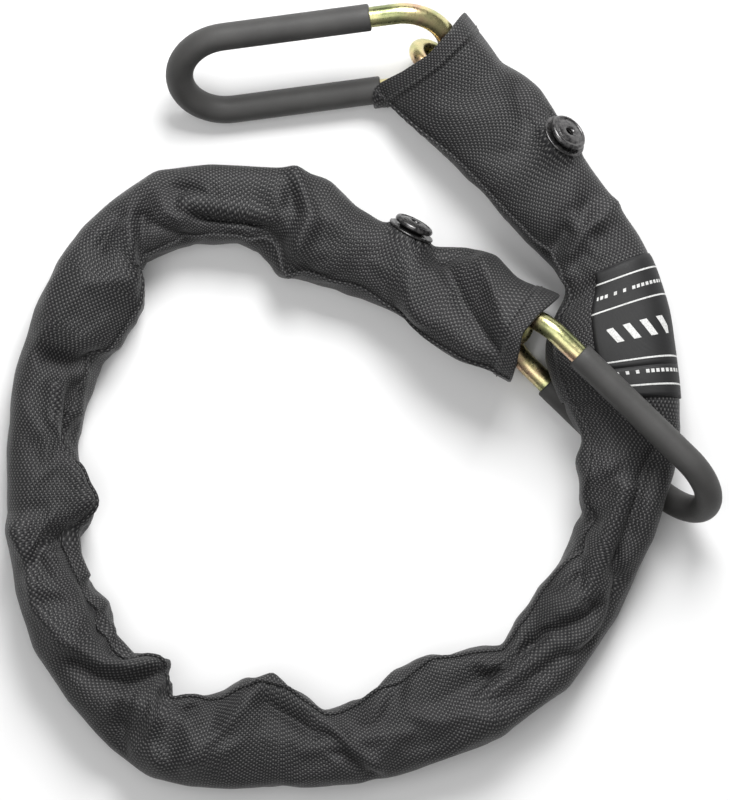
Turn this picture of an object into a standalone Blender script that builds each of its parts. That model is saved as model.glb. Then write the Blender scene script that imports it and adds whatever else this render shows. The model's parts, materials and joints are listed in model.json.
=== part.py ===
"""Noose chain lock: a steel chain in a fabric sleeve, with an oblong end loop at each end.

The lock lies on a surface. One strand passes through the second end loop, which makes the noose.
The route is written in millimetres and every mesh is made in metres, with +Z up.
"""

import math

import bmesh
import bpy
from mathutils import Vector

MM = 0.001

# Chain links
LINK_BAR = 6.0
LINK_INNER_LENGTH = 33.66
LINK_INNER_WIDTH = 10.0
LINK_PLAY = 0.5
LINK_ARC_STEPS = 8

# End loops
LOOP_BAR = 8.0
LOOP_OUTER_LENGTH = 112.0
LOOP_SPACING = 37.5
LOOP_ARC_STEPS = 12
RUBBER_INNER_RADIUS = 4.3
RUBBER_OUTER_RADIUS = 5.3
RUBBER_LEG_LENGTH = 57.0
LOOP_A_YAW = 7.5
LOOP_A_TILT = 44.0
LOOP_A_SLACK = 12.0
LOOP_B_YAW = 136.0
LOOP_B_TILT = -64.7
LOOP_B_SLACK = 7.5

# Sleeve
SLEEVE_WALL = 1.0
SLEEVE_POWER = 3.0
SLEEVE_AROUND = 20
SLEEVE_STEP = 12.0
SEAM_GAP = 0.4
HEM_LENGTH = 9.0
HEM_EXTRA = 0.5

# Label and press studs
LABEL_LENGTH = 52.0
LABEL_THICKNESS = 0.6
LABEL_GAP = 0.4
LABEL_FROM_BAR = 7.0
STUD_FLANGE_RADIUS = 9.2
STUD_CAP_RADIUS = 7.8
STUD_GAP = 0.8
STUD_A_BACK = 22.0
STUD_B_BACK = 3.5
STUD_A_LEAN = 38.0
STUD_B_LEAN = 13.0

# Middle of the plan outline, which becomes the origin
CENTRE_X = -1.64
CENTRE_Y = 0.24

# Route of the chain: x, y, z
CHAIN_ROUTE = [
    (18.0, 136.6, 12.7),
    (35.0, 124.2, 12.8),
    (50.5, 110.8, 12.9),
    (62.5, 94.0, 13.1),
    (75.0, 77.0, 13.1),
    (87.7, 57.5, 13.6),
    (95.4, 38.3, 15.2),
    (101.1, 19.2, 17.6),
    (103.5, 0.0, 19.9),
    (101.5, -20.0, 20.6),
    (97.5, -40.0, 19.4),
    (91.6, -58.6, 16.2),
    (80.1, -82.0, 13.9),
    (59.0, -107.3, 13.1),
    (28.4, -122.7, 13.1),
    (-6.1, -132.2, 13.1),
    (-42.5, -133.3, 13.1),
    (-75.1, -124.6, 13.1),
    (-100.0, -104.4, 13.1),
    (-117.2, -76.6, 13.1),
    (-123.0, -46.0, 13.1),
    (-123.0, -15.3, 13.1),
    (-117.2, 13.5, 13.1),
    (-107.7, 39.3, 13.1),
    (-94.3, 61.3, 13.1),
    (-73.2, 74.6, 13.1),
    (-48.3, 75.6, 13.1),
    (-25.3, 69.0, 13.1),
    (-6.1, 57.5, 13.4),
    (13.0, 46.5, 15.5),
    (32.2, 38.3, 18.1),
    (51.3, 30.9, 19.5),
    (61.0, 27.0, 19.6),
    (69.0, 23.5, 19.6),
]
# Route of the sleeve: x, y, z, then its reach to the outer side, inner side, up and down, and its roll
SLEEVE_ROUTE = [
    (24.3, 132.0, 14.0, 24.0, 31.8, 13.5, 15.5, 26.0),
    (30.0, 125.0, 14.0, 22.5, 28.0, 13.5, 15.0, 20.0),
    (39.8, 113.0, 13.6, 20.5, 21.5, 13.1, 13.6, 8.0),
    (57.1, 95.8, 13.1, 19.5, 19.5, 13.1, 13.4, 0.0),
    (74.3, 76.8, 13.1, 18.0, 18.0, 13.1, 13.4, 0.0),
    (87.7, 57.5, 13.6, 17.5, 17.5, 13.1, 13.4, 0.0),
    (95.4, 38.3, 15.2, 17.0, 17.0, 13.1, 13.4, 0.0),
    (101.1, 19.2, 17.6, 16.5, 17.0, 12.8, 13.0, 0.0),
    (103.3, 0.0, 19.9, 16.5, 17.0, 12.6, 13.0, 0.0),
    (103.0, -6.0, 20.2, 16.5, 17.0, 12.6, 11.6, 0.0),
    (102.2, -13.0, 20.5, 16.5, 17.0, 12.4, 9.3, 0.0),
    (101.0, -22.0, 20.6, 16.5, 17.0, 12.4, 9.0, 0.0),
    (99.6, -31.0, 20.3, 16.5, 17.0, 12.6, 9.3, 0.0),
    (98.0, -38.0, 19.6, 16.5, 17.0, 12.8, 13.1, 0.0),
    (96.0, -45.5, 18.6, 16.5, 17.0, 12.8, 12.8, 0.0),
    (91.6, -58.6, 16.2, 16.5, 18.0, 13.1, 13.4, 0.0),
    (80.1, -82.0, 13.9, 16.5, 19.0, 13.1, 13.4, 0.0),
    (59.0, -107.3, 13.1, 16.5, 20.0, 13.1, 13.4, 0.0),
    (28.4, -122.7, 13.1, 16.5, 20.0, 13.1, 13.4, 0.0),
    (-6.1, -132.2, 13.1, 16.5, 20.0, 13.1, 13.4, 0.0),
    (-42.5, -133.3, 13.1, 17.5, 20.0, 13.1, 13.4, 0.0),
    (-75.1, -124.6, 13.1, 17.5, 20.0, 13.1, 13.4, 0.0),
    (-100.0, -104.4, 13.1, 17.0, 20.0, 13.1, 13.4, 0.0),
    (-117.2, -76.6, 13.1, 16.5, 20.0, 13.1, 13.4, 0.0),
    (-123.0, -46.0, 13.1, 16.0, 20.0, 13.1, 13.4, 0.0),
    (-123.0, -15.3, 13.1, 16.0, 19.0, 13.1, 13.4, 0.0),
    (-117.2, 13.5, 13.1, 16.5, 18.5, 13.1, 13.4, 0.0),
    (-107.7, 39.3, 13.1, 16.5, 18.0, 13.1, 13.4, 0.0),
    (-94.3, 61.3, 13.1, 16.5, 18.0, 13.1, 13.4, 0.0),
    (-73.2, 74.6, 13.1, 16.5, 18.0, 13.1, 13.4, 0.0),
    (-48.3, 75.6, 13.1, 16.5, 18.0, 13.1, 13.4, 0.0),
    (-25.3, 69.0, 13.1, 16.5, 18.0, 13.1, 13.4, 0.0),
    (-6.1, 57.5, 13.4, 17.0, 18.0, 13.1, 13.4, 0.0),
    (13.0, 46.5, 15.5, 17.5, 18.0, 13.1, 13.4, 0.0),
    (32.2, 38.0, 18.1, 18.0, 18.5, 13.8, 13.8, 0.0),
    (46.0, 31.5, 19.8, 18.5, 18.5, 17.5, 17.0, 0.0),
    (53.0, 28.4, 20.8, 18.8, 18.8, 20.2, 19.8, 0.0),
    (61.5, 24.8, 20.8, 18.9, 18.9, 22.6, 20.8, 0.0),
]
# Distance along the route from its start to the middle of the link under the noose loop
ROOT_AT = 188.3
TAIL_LINKS = 5
NOOSE_LINKS = 18
# Roll of the links about the chain's direction, in degrees, where it isn't zero
ROLL = {1: 28.0, 2: 14.0, 23: -5.0, 24: -17.0}

UP = Vector((0.0, 0.0, 1.0))


def remove_everything():
    """Start from an empty scene."""
    for old in list(bpy.data.objects):
        bpy.data.objects.remove(old, do_unlink=True)


def material(name, colour, roughness, metallic):
    """A Principled material with one colour."""
    made = bpy.data.materials.new(name)
    made.use_nodes = True
    shader = made.node_tree.nodes["Principled BSDF"]
    shader.inputs["Base Color"].default_value = (*colour, 1.0)
    shader.inputs["Roughness"].default_value = roughness
    shader.inputs["Metallic"].default_value = metallic
    return made


class Route:
    """A smooth curve through the route's points, with its sleeve widths, measured along its length."""

    def __init__(self, points, steps=40):
        self.rows = []
        last = len(points) - 1
        for i in range(last):
            four = [points[max(i - 1, 0)], points[i], points[i + 1], points[min(i + 2, last)]]
            for k in range(steps):
                self.rows.append(self.between(four, k / steps))
        self.rows.append(tuple(float(v) for v in points[-1]))
        self.along = [0.0]
        for a, b in zip(self.rows, self.rows[1:]):
            self.along.append(self.along[-1] + math.dist(a[:3], b[:3]))

    @staticmethod
    def between(four, t):
        """Catmull-Rom value between the second and third of four rows."""
        p0, p1, p2, p3 = four
        out = []
        for a, b, c, d in zip(p0, p1, p2, p3):
            curve = (2 * a - 5 * b + 4 * c - d) * t * t + (3 * b - a - 3 * c + d) * t ** 3
            out.append(0.5 * (2 * b + (c - a) * t + curve))
        return tuple(out)

    def row(self, s):
        """The row at distance s along the route."""
        s = min(max(s, 0.0), self.along[-1])
        low, high = 0, len(self.along) - 1
        while high - low > 1:
            mid = (low + high) // 2
            if self.along[mid] <= s:
                low = mid
            else:
                high = mid
        share = (s - self.along[low]) / max(self.along[high] - self.along[low], 1e-9)
        return [a + (b - a) * share for a, b in zip(self.rows[low], self.rows[high])]

    def point(self, s):
        """The point at distance s, in millimetres."""
        return Vector(self.row(s)[:3])

    def frame(self, s):
        """The route's direction, its left side and its own up at distance s."""
        forward = (self.point(s + 3.0) - self.point(s - 3.0)).normalized()
        left = UP.cross(forward).normalized()
        return forward, left, forward.cross(left)

    def nearest(self, point):
        """The distance along the route of its nearest point to a given one."""
        gaps = [math.dist(row[:2], point[:2]) for row in self.rows]
        return self.along[gaps.index(min(gaps))]

    def step(self, s, reach, way):
        """The distance along the route whose point is `reach` from the point at s, going one way."""
        here = self.point(s)
        near, far = 0.0, 1.4 * reach
        for _ in range(40):
            mid = 0.5 * (near + far)
            if (self.point(s + way * mid) - here).length < reach:
                near = mid
            else:
                far = mid
        return s + way * 0.5 * (near + far)


def chain_stops(route):
    """Where the upright links' end bars are, as distances along the route, from the first link to the last."""
    upright = LINK_INNER_LENGTH + LINK_BAR
    flat = LINK_INNER_LENGTH - LINK_BAR - 2 * LINK_PLAY
    low, high = 0.0, flat
    for _ in range(40):
        half = 0.5 * (low + high)
        if (route.point(ROOT_AT + half) - route.point(ROOT_AT - half)).length < flat:
            low = half
        else:
            high = half
    before, after = [ROOT_AT - low], [ROOT_AT + low]
    for i in range(TAIL_LINKS):
        before.append(route.step(before[-1], upright if i % 2 == 0 else flat, -1))
    for i in range(NOOSE_LINKS):
        reach = upright if i % 2 == 0 else flat
        if i == NOOSE_LINKS - 1:
            reach = LINK_INNER_LENGTH - LINK_PLAY
        after.append(route.step(after[-1], reach, 1))
    return before[::-1] + after


def new_mesh(name, vertices, faces, look, folder, origin=None):
    """An object from millimetre vertices, with its origin at a millimetre point."""
    origin = origin or Vector((0.0, 0.0, 0.0))
    mesh = bpy.data.meshes.new(name)
    mesh.from_pydata([tuple((Vector(v) - origin) * MM) for v in vertices], [], faces)
    bm = bmesh.new()
    bm.from_mesh(mesh)
    bmesh.ops.recalc_face_normals(bm, faces=bm.faces)
    bm.to_mesh(mesh)
    bm.free()
    mesh.materials.append(look)
    made = bpy.data.objects.new(name, mesh)
    made.location = (origin - Vector((CENTRE_X, CENTRE_Y, 0.0))) * MM
    folder.objects.link(made)
    return made


def ring_curve(name, points, radius, look, folder, origin):
    """A closed bar of round section through millimetre points, with its origin at a millimetre point."""
    data = bpy.data.curves.new(name, "CURVE")
    data.dimensions = "3D"
    data.bevel_depth = radius * MM
    data.bevel_resolution = 2
    spline = data.splines.new("POLY")
    spline.points.add(len(points) - 1)
    for target, p in zip(spline.points, points):
        target.co = (*((p - origin) * MM), 1.0)
    spline.use_cyclic_u = True
    data.materials.append(look)
    made = bpy.data.objects.new(name, data)
    made.location = (origin - Vector((CENTRE_X, CENTRE_Y, 0.0))) * MM
    folder.objects.link(made)
    return made


def oblong(centre_one, centre_two, along, across, radius, steps):
    """Points of an oblong with a half circle about each centre."""
    points = []
    for centre, way in ((centre_two, 1.0), (centre_one, -1.0)):
        for k in range(steps + 1):
            turn = math.pi * (k / steps - 0.5)
            points.append(centre + way * radius * (math.cos(turn) * along + math.sin(turn) * across))
    return points


def shell(name, outer, inner, look, folder, origin):
    """A tube with a wall: two lists of rings, joined at both ends."""
    count = len(outer[0])
    vertices = [p for ring in outer for p in ring] + [p for ring in inner for p in ring]
    shift = len(outer) * count
    faces = []
    for r in range(len(outer) - 1):
        for k in range(count):
            a, b = r * count + k, r * count + (k + 1) % count
            faces.append((a, b, b + count, a + count))
            faces.append((shift + a, shift + a + count, shift + b + count, shift + b))
    for r in (0, len(outer) - 1):
        for k in range(count):
            a, b = r * count + k, r * count + (k + 1) % count
            faces.append((a, shift + a, shift + b, b))
    return new_mesh(name, vertices, faces, look, folder, origin)


def slab(name, top, bottom, look, folder, origin):
    """A thin solid between two grids of points."""
    rows, columns = len(top), len(top[0])
    vertices = [p for row in top for p in row] + [p for row in bottom for p in row]
    shift = rows * columns
    faces = []
    for r in range(rows - 1):
        for k in range(columns - 1):
            a = r * columns + k
            faces.append((a, a + 1, a + columns + 1, a + columns))
            faces.append((shift + a, shift + a + columns, shift + a + columns + 1, shift + a + 1))
    edge = [(0, k) for k in range(columns)] + [(r, columns - 1) for r in range(1, rows)]
    edge += [(rows - 1, k) for k in range(columns - 2, -1, -1)] + [(r, 0) for r in range(rows - 2, 0, -1)]
    for (r1, k1), (r2, k2) in zip(edge, edge[1:] + edge[:1]):
        a, b = r1 * columns + k1, r2 * columns + k2
        faces.append((a, b, shift + b, shift + a))
    return new_mesh(name, vertices, faces, look, folder, origin)


def turned(name, profile, base, axis, look, folder, origin, sides=24):
    """A ring-shaped solid turned about an axis from a closed profile of (radius, height) pairs."""
    axis = axis.normalized()
    side = axis.orthogonal().normalized()
    other = axis.cross(side)
    vertices, faces = [], []
    count = len(profile)
    for i in range(sides):
        turn = 2 * math.pi * i / sides
        out = side * math.cos(turn) + other * math.sin(turn)
        vertices += [base + out * radius + axis * height for radius, height in profile]
    for i in range(sides):
        here, there = i * count, (i + 1) % sides * count
        for k in range(count):
            n = (k + 1) % count
            faces.append((here + k, here + n, there + n, there + k))
    return new_mesh(name, vertices, faces, look, folder, origin)


def section_ring(route, s, grow=0.0):
    """One ring of the sleeve at distance s: a rounded oblong with its own reach on each of four sides."""
    _, left, up = route.frame(s)
    x, y, z, outer, inner, high, low, roll = route.row(s)
    lean = math.radians(roll)
    left, up = left * math.cos(lean) + up * math.sin(lean), up * math.cos(lean) - left * math.sin(lean)
    ring = []
    for k in range(SLEEVE_AROUND):
        turn = 2 * math.pi * (k + 0.5) / SLEEVE_AROUND
        c, d = math.cos(turn), math.sin(turn)
        wide = math.copysign(abs(c) ** (2 / SLEEVE_POWER), c)
        tall = math.copysign(abs(d) ** (2 / SLEEVE_POWER), d)
        reach = left * wide * ((outer if c > 0 else inner) + grow)
        ring.append(Vector((x, y, z)) + reach + up * tall * ((high if d > 0 else low) + grow))
    return ring


def on_floor(ring, least=0.0):
    """The ring with no point below the floor."""
    return [Vector((p.x, p.y, max(p.z, least))) for p in ring]


def sleeve_section(name, route, start, end, look, folder, origin, grow=0.0):
    """A stretch of sleeve as an open tube."""
    count = max(1, round((end - start) / SLEEVE_STEP))
    stops = [start + (end - start) * i / count for i in range(count + 1)]
    outer = [on_floor(section_ring(route, s, grow)) for s in stops]
    inner = [on_floor(section_ring(route, s, -SLEEVE_WALL), SLEEVE_WALL) for s in stops]
    return shell(name, outer, inner, look, folder, origin)


def link(name, route_points, roll, index, look, folder, origin):
    """One chain link between its two end bar centres, flat when its index is even."""
    one, two = route_points
    forward = (two - one).normalized()
    left = UP.cross(forward).normalized()
    up = forward.cross(left)
    turn = math.radians(roll)
    if index % 2:
        across = up * math.cos(turn) - left * math.sin(turn)
    else:
        across = left * math.cos(turn) + up * math.sin(turn)
    radius = 0.5 * (LINK_INNER_WIDTH + LINK_BAR)
    inset = radius
    points = oblong(one + forward * inset, two - forward * inset, forward, across, radius, LINK_ARC_STEPS)
    return ring_curve(name, points, 0.5 * LINK_BAR, look, folder, origin)


def loop_frame(yaw, tilt, pitch):
    """An end loop's direction towards its chain end, and its direction across, which leans up by the tilt."""
    turn, lean, rise = math.radians(yaw), math.radians(tilt), math.radians(pitch)
    flat = Vector((math.cos(turn), math.sin(turn), 0.0))
    side = UP.cross(flat)
    towards = flat * math.cos(rise) + UP * math.sin(rise)
    return towards, side * math.cos(lean) + towards.cross(side) * math.sin(lean)


def seat_loop(bar, other_bar, slack, yaw, tilt):
    """Where an end loop sits: its bar crosses the end link's window and its far end rests on the surface.

    The last value is the middle of the bar inside the window, which the loop swings about.
    """
    radius = 0.5 * LOOP_SPACING
    straight = LOOP_OUTER_LENGTH - LOOP_BAR - LOOP_SPACING
    pull = (other_bar - bar).normalized()
    touch = bar + pull * slack
    pitch = 0.0
    for _ in range(8):
        towards, across = loop_frame(yaw, tilt, pitch)
        turn = math.atan2(across.dot(pull), towards.dot(pull))
        centre = touch - radius * (math.cos(turn) * towards + math.sin(turn) * across)
        rest = RUBBER_OUTER_RADIUS + radius * abs(across.z)
        pitch = math.degrees(math.asin((centre.z - rest) / straight))
    return centre, -towards, across, touch


def end_loop(name, chain_centre, along, across, steel, rubber, folder, origin):
    """An oblong steel loop with a rubber tube over its far half. `along` points from the chain to the far end."""
    radius = 0.5 * LOOP_SPACING
    length = LOOP_OUTER_LENGTH - LOOP_BAR - 2 * radius
    far = chain_centre + along * length
    points = oblong(chain_centre, far, along, across, radius, LOOP_ARC_STEPS)
    ring_curve(name, points, 0.5 * LOOP_BAR, steel, folder, origin)
    path = []
    for k in range(3):
        path.append((far - along * RUBBER_LEG_LENGTH * (1 - k / 3) - across * radius, along, -across))
    for k in range(LOOP_ARC_STEPS + 1):
        turn = math.pi * (k / LOOP_ARC_STEPS - 0.5)
        out = math.cos(turn) * along + math.sin(turn) * across
        path.append((far + radius * out, math.cos(turn) * across - math.sin(turn) * along, out))
    for k in range(3):
        path.append((far - along * RUBBER_LEG_LENGTH * (k + 1) / 3 + across * radius, -along, across))
    normal = along.cross(across)
    walls = []
    for wall in (RUBBER_OUTER_RADIUS, RUBBER_INNER_RADIUS):
        rings = []
        for centre, _, out in path:
            ring = []
            for k in range(12):
                turn = 2 * math.pi * k / 12
                ring.append(centre + wall * (math.cos(turn) * out + math.sin(turn) * normal))
            rings.append(ring)
        walls.append(rings)
    shell(f"{name}_rubber", walls[0], walls[1], rubber, folder, origin)


def press_stud(name, route, s, elevation, look, folder):
    """A press stud on the sleeve's outer side: a flange on the fabric and a cap that pulls off it."""
    _, left, up = route.frame(s)
    row = route.row(s)
    lean = math.radians(elevation)
    axis = left * math.cos(lean) + up * math.sin(lean)
    wide = math.cos(lean) ** (2 / SLEEVE_POWER) * row[3]
    tall = math.sin(lean) ** (2 / SLEEVE_POWER) * row[5]
    base = Vector(row[:3]) + left * wide + up * tall + axis * STUD_GAP
    flange = [(2.2, 0.0), (STUD_FLANGE_RADIUS - 0.5, 0.0), (STUD_FLANGE_RADIUS, 0.5)]
    flange += [(STUD_FLANGE_RADIUS - 0.4, 1.0), (4.2, 1.4), (4.0, 2.6), (2.2, 2.6)]
    turned(f"{name}_flange", flange, base, axis, look, folder, base)
    cap = [(1.6, 3.0), (4.6, 3.0), (4.9, 1.9), (STUD_CAP_RADIUS - 0.6, 1.9), (STUD_CAP_RADIUS, 2.6)]
    cap += [(STUD_CAP_RADIUS - 0.2, 3.6), (STUD_CAP_RADIUS - 1.2, 4.3), (2.6, 4.6), (1.6, 4.1)]
    turned(f"{name}_cap", cap, base, axis, look, folder, base)
    return base, axis


def label(name, route, start, end, look, folder, origin):
    """A patch wrapped over the outer side of the sleeve."""
    top, bottom = [], []
    rows = 6
    span = [SLEEVE_AROUND - 2, SLEEVE_AROUND - 1, 0, 1, 2, 3, 4, 5, 6]
    for i in range(rows + 1):
        s = start + (end - start) * i / rows
        low = section_ring(route, s, LABEL_GAP)
        high = section_ring(route, s, LABEL_GAP + LABEL_THICKNESS)
        bottom.append([low[k] for k in span])
        top.append([high[k] for k in span])
    return slab(name, top, bottom, look, folder, origin)


def hinge_of(bars, index):
    """The hinge that carries a link: its end nearest the link under the noose loop."""
    return bars[index] if index <= TAIL_LINKS else bars[index - 1]


def build():
    """Make the whole lock."""
    remove_everything()
    folder = bpy.data.collections.new("noose_chain_lock")
    bpy.context.scene.collection.children.link(folder)
    steel = material("zinc_plated_steel", (0.62, 0.55, 0.30), 0.25, 1.0)
    rubber = material("black_rubber", (0.05, 0.05, 0.05), 0.6, 0.0)
    fabric = material("woven_nylon", (0.035, 0.035, 0.04), 0.7, 0.0)
    patch = material("label_fabric", (0.02, 0.02, 0.02), 0.5, 0.0)
    dark = material("black_stud_metal", (0.03, 0.03, 0.035), 0.3, 0.8)

    route = Route(CHAIN_ROUTE)
    cover = Route(SLEEVE_ROUTE)
    stops = chain_stops(route)
    bars = [route.point(s) for s in stops]
    reach = LINK_BAR + LINK_PLAY
    count = TAIL_LINKS + 1 + NOOSE_LINKS
    for i in range(1, count + 1):
        one, two = bars[i - 1], bars[i]
        forward = (two - one).normalized()
        if i % 2 == 0:
            one = one - forward * reach
            if i != count:
                two = two + forward * reach
        link(f"link_{i:02d}", (one, two), ROLL.get(i, 0.0), i, steel, folder, hinge_of(bars, i))

    # Sleeve sections: one for each upright link, and one more at the far mouth
    middles = [cover.nearest(0.5 * (a + b)) for a, b in zip(bars, bars[1:])]
    end = cover.along[-1]
    cuts = [HEM_LENGTH] + [middles[i] for i in range(1, count, 2)] + [end - HEM_LENGTH]
    gap = 0.5 * SEAM_GAP
    for i, (a, b) in enumerate(zip(cuts, cuts[1:])):
        pivot = hinge_of(bars, min(2 * i + 1, count))
        sleeve_section(f"sleeve_{i + 1:02d}", cover, a + gap, b - gap, fabric, folder, pivot)
    near, far = hinge_of(bars, 1), hinge_of(bars, count)
    sleeve_section("hem_a", cover, 0.0, HEM_LENGTH - gap, fabric, folder, near, HEM_EXTRA)
    sleeve_section("hem_b", cover, end - HEM_LENGTH + gap, end, fabric, folder, far, HEM_EXTRA)

    # End loops, set on the bars of the first and last links
    *seat_a, pivot_a = seat_loop(bars[0], bars[1], LOOP_A_SLACK, LOOP_A_YAW, LOOP_A_TILT)
    *seat_b, pivot_b = seat_loop(bars[-1], bars[-2], LOOP_B_SLACK, LOOP_B_YAW, LOOP_B_TILT)
    end_loop("loop_a", *seat_a, steel, rubber, folder, pivot_a)
    end_loop("loop_b", *seat_b, steel, rubber, folder, pivot_b)

    # Label on the strand through the noose, and the two press studs
    label_start = cover.nearest(bars[3]) + LABEL_FROM_BAR
    label("label", cover, label_start, label_start + LABEL_LENGTH, patch, folder, hinge_of(bars, 5))
    press_stud("stud_a", cover, middles[2] - STUD_A_BACK, STUD_A_LEAN, dark, folder)
    press_stud("stud_b", cover, middles[count - 2] - STUD_B_BACK, STUD_B_LEAN, dark, folder)
    return cover, stops, bars, (*seat_a, pivot_a), (*seat_b, pivot_b)


build()
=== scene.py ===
"""Looks of the noose chain lock: a woven sleeve over a steel chain, two rubber-covered end loops, a label
and press studs.

Lengths in the settings are in millimetres and the scene is in metres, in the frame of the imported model.
"""

import json
import math

import bpy
import numpy as np
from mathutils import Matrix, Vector


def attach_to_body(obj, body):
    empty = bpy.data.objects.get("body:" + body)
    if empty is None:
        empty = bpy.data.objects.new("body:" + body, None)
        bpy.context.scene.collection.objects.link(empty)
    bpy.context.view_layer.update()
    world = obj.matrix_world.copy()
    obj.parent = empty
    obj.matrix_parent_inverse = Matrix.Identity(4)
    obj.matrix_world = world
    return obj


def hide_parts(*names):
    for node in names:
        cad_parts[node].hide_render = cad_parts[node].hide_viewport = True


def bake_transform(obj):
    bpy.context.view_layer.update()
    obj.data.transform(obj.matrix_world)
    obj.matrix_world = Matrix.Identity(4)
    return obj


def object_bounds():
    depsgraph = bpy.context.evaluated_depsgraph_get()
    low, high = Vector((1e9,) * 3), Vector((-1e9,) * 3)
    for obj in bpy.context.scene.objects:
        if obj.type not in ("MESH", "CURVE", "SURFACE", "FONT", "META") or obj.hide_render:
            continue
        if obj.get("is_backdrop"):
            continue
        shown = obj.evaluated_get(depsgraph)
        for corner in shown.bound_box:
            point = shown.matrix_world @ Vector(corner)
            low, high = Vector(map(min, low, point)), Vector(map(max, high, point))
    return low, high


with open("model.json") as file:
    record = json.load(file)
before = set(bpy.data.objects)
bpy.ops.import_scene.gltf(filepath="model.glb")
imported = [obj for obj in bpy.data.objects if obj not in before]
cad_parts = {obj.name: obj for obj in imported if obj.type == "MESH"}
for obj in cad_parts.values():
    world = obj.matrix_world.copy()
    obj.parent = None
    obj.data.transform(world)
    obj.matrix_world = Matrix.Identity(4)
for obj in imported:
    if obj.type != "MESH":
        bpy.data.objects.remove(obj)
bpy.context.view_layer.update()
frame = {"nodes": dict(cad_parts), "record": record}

MM = 0.001

# ---------------------------------------------------------------- settings
# Rows along the sleeve: x, y and z of its middle, reach to its outer side and to its inner side. Where they
# aren't the usual ones, the height above the middle, the height below it and the lean in degrees follow.
USUAL_SECTION = (13.1, 13.4, 0.0)
SLEEVE_ROUTE = [
    (24.3, 132.0, 14.0, 21.0, 25.0, 12.5, 14.5, 26.0),
    (30.0, 125.0, 14.0, 20.5, 23.8, 12.8, 14.5, 20.0),
    (39.8, 113.0, 13.6, 20.0, 21.0, 13.1, 13.6, 8.0),
    (57.1, 95.8, 13.1, 19.5, 19.5),
    (74.3, 76.8, 13.1, 18.0, 18.0),
    (87.7, 57.5, 13.6, 17.5, 17.5),
    (95.4, 38.3, 15.2, 17.0, 20.0),
    (101.1, 19.2, 17.6, 16.5, 25.0, 12.8, 13.0, 0.0),
    (103.3, 0.0, 19.9, 16.5, 22.0, 12.6, 13.0, 0.0),
    (103.0, -6.0, 20.2, 16.5, 20.0, 12.6, 11.6, 0.0),
    (102.2, -13.0, 20.5, 16.5, 17.0, 12.4, 9.3, 0.0),
    (101.0, -22.0, 20.6, 16.5, 17.0, 12.4, 9.0, 0.0),
    (99.6, -31.0, 20.3, 16.5, 17.0, 12.6, 9.3, 0.0),
    (98.0, -38.0, 19.6, 16.5, 17.0, 12.8, 13.1, 0.0),
    (96.0, -45.5, 18.6, 16.5, 17.0, 12.8, 12.8, 0.0),
    (91.6, -58.6, 16.2, 16.5, 18.0),
    (80.1, -82.0, 13.9, 16.5, 19.0),
    (59.0, -107.3, 13.1, 16.5, 20.0),
    (28.4, -122.7, 13.1, 16.5, 20.0),
    (-6.1, -132.2, 13.1, 16.5, 20.0),
    (-42.5, -133.3, 13.1, 17.5, 20.0),
    (-75.1, -124.6, 13.1, 17.5, 20.0),
    (-100.0, -104.4, 13.1, 17.0, 20.0),
    (-117.2, -76.6, 13.1, 16.5, 20.0),
    (-123.0, -46.0, 13.1, 16.0, 20.0),
    (-123.0, -15.3, 13.1, 16.0, 19.0),
    (-117.2, 13.5, 13.1, 16.5, 18.5),
    (-107.7, 39.3, 13.1, 16.5, 18.0),
    (-94.3, 61.3, 13.1, 16.5, 18.0),
    (-73.2, 74.6, 13.1, 16.5, 18.0),
    (-48.3, 75.6, 13.1, 16.5, 18.0),
    (-25.3, 69.0, 13.1, 16.5, 18.0),
    (-6.1, 57.5, 13.4, 17.0, 18.0),
    (13.0, 46.5, 15.5, 17.5, 18.0),
    (32.2, 38.0, 18.1, 18.0, 18.5, 13.8, 13.8, 0.0),
    (46.0, 31.5, 19.8, 18.5, 18.5, 17.5, 17.0, 0.0),
    (53.0, 28.4, 20.8, 18.8, 18.8, 20.2, 19.8, 0.0),
    (61.5, 24.8, 20.8, 18.9, 18.9, 22.6, 20.8, 0.0),
]
# From the rows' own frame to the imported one
SHIFT = np.array([1.64, -0.24, 0.0])
# Plan edges of the cloth on the noose's inner side and its outer side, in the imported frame
INNER_EDGE = [
    (7.0, 120.4), (20.4, 107.0), (34.6, 91.7), (47.2, 78.3), (62.6, 61.1), (74.0, 50.3), (78.4, 44.5),
    (78.0, 39.5), (74.6, 33.0), (71.8, 27.0), (70.4, 21.0), (70.4, 15.0), (72.4, 7.5), (75.6, 0.0),
    (79.2, -8.0), (82.8, -16.0), (83.6, -30.9), (83.8, -42.1), (80.6, -53.9), (76.0, -62.3), (67.2, -71.9),
    (63.3, -79.9), (53.7, -94.5), (41.5, -95.3), (26.2, -97.6), (20.0, -101.4),
    (8.9, -108.7), (-0.7, -114.4), (-15.0, -119.2), (-21.3, -113.6), (-29.4, -108.7), (-36.3, -106.4),
    (-44.7, -106.4), (-53.5, -110.6), (-63.1, -110.6), (-68.9, -113.0), (-73.1, -113.3), (-72.7, -109.4),
    (-70.8, -105.4), (-72.3, -99.1), (-82.3, -96.0), (-90.7, -94.9), (-94.5, -85.7), (-95.7, -78.0),
    (-101.4, -71.9), (-106.8, -62.7), (-107.9, -53.1), (-104.1, -50.0), (-102.2, -41.2), (-107.2, -19.4),
    (-108.7, -15.6), (-104.9, -0.2), (-100.3, 13.9), (-93.8, 18.9), (-84.2, 35.4), (-84.2, 41.9),
    (-87.6, 51.5), (-75.4, 56.1), (-63.1, 59.1), (-46.6, 61.8), (-38.2, 58.4), (-31.3, 48.8), (-23.6, 46.9),
    (-12.2, 43.8), (-0.7, 40.0), (18.5, 26.6), (37.7, 15.1), (51.1, 6.7), (53.7, 6.7),
]
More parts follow.
